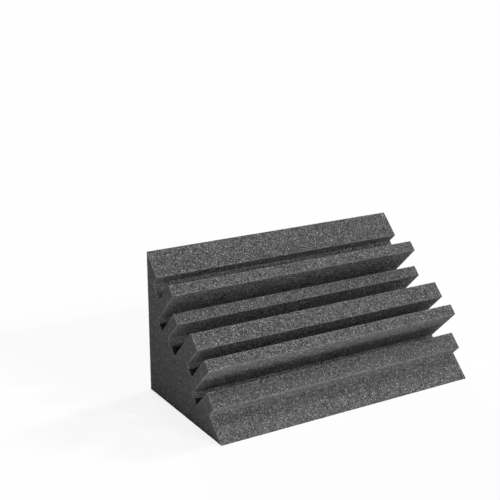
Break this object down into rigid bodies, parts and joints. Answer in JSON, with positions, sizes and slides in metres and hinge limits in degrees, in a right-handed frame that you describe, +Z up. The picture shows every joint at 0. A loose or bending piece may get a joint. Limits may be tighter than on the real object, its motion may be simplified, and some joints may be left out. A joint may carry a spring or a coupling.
{
  "type": "corner bass trap",
  "caption": "Corner bass trap: a wedge of charcoal open-cell foam for a room corner, its sloping face cut into long square bars and grooves of mixed widths and depths.",
  "frame": {"origin": "under the middle of the box that the trap fills, on the surface that it lies on", "axes": "+X along the length of the bars, +Y towards the upright wall face at the back, +Z up. The trap lies on its other wall face and the sloping comb faces -Y and +Z"},
  "size_m": [0.6096, 0.3048, 0.3048],
  "materials": {
    "charcoal_foam": "matte"
  },
  "bodies": {
    "root": {"foam_block": "charcoal_foam"}
  },
  "joints": []
}
